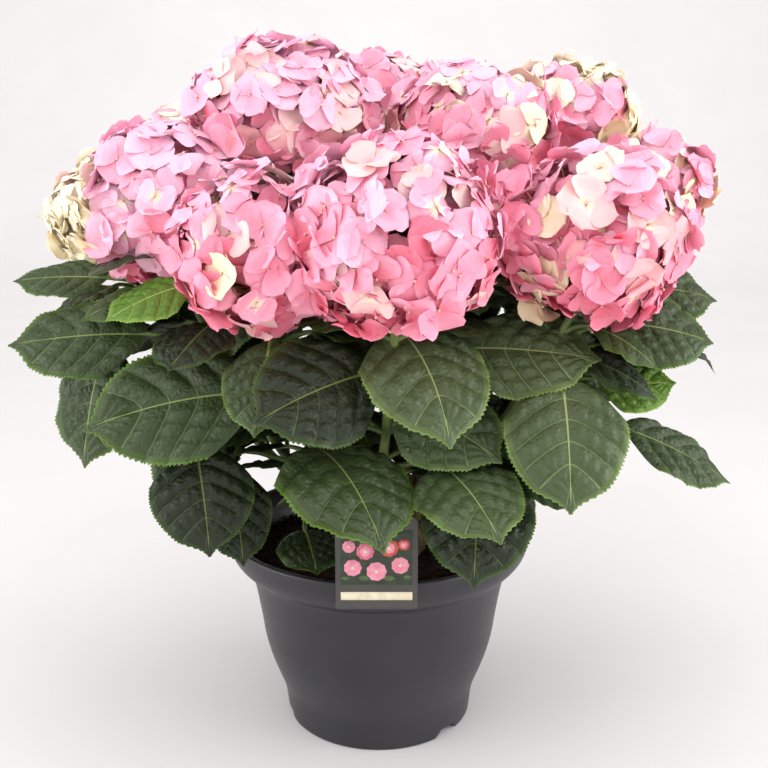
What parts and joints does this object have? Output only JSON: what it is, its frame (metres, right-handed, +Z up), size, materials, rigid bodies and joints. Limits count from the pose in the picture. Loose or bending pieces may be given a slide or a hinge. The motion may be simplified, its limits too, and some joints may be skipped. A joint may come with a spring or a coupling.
{
  "type": "potted flowering shrub",
  "caption": "Rounded hydrangea shrub with mophead blooms and broad toothed leaves, standing in a round tapered plastic pot with a plain plant label on its rim.",
  "frame": {"origin": "centre of the pot's flat underside", "axes": "+Z up, -Y towards the front of the plant, where the label hangs, +X towards the viewer's right"},
  "size_m": [0.638, 0.5261, 0.6253],
  "materials": {
    "pot": "satin charcoal plastic",
    "soil": "loose dark compost",
    "label": "satin printed card",
    "bark": "green-brown bark",
    "leaf": "satin dark green",
    "bloom": "soft pink"
  },
  "bodies": {
    "root": {"pot": "pot", "soil": "soil", "plant_label": "label", "woody_foot": "bark", "cane_front": "bark", "cane_front_left": "bark", "cane_front_right": "bark", "cane_left": "bark", "cane_top_left": "bark", "cane_top": "bark", "cane_top_right": "bark", "cane_right": "bark", "cane_far_left": "bark", "cane_rear_left": "bark", "cane_rear": "bark", "cane_back_left": "bark", "cane_back_right": "bark", "cane_right_rear": "bark", "bloom_front": "bloom", "bloom_front_left": "bloom", "bloom_front_right": "bloom", "bloom_left": "bloom", "bloom_top_left": "bloom", "bloom_top": "bloom", "bloom_top_right": "bloom", "bloom_right": "bloom", "bloom_far_left": "bloom", "bloom_rear_left": "bloom", "bloom_rear": "bloom", "bloom_back_left": "bloom", "bloom_back_right": "bloom", "bloom_right_rear": "bloom", "foliage_front": "leaf", "foliage_front_left": "leaf", "foliage_front_right": "leaf", "foliage_left": "leaf", "foliage_top_left": "leaf", "foliage_top": "leaf", "foliage_top_right": "leaf", "foliage_right": "leaf", "foliage_far_left": "leaf", "foliage_rear_left": "leaf", "foliage_rear": "leaf", "foliage_back_left": "leaf", "foliage_back_right": "leaf", "foliage_right_rear": "leaf"}
  },
  "joints": []
}
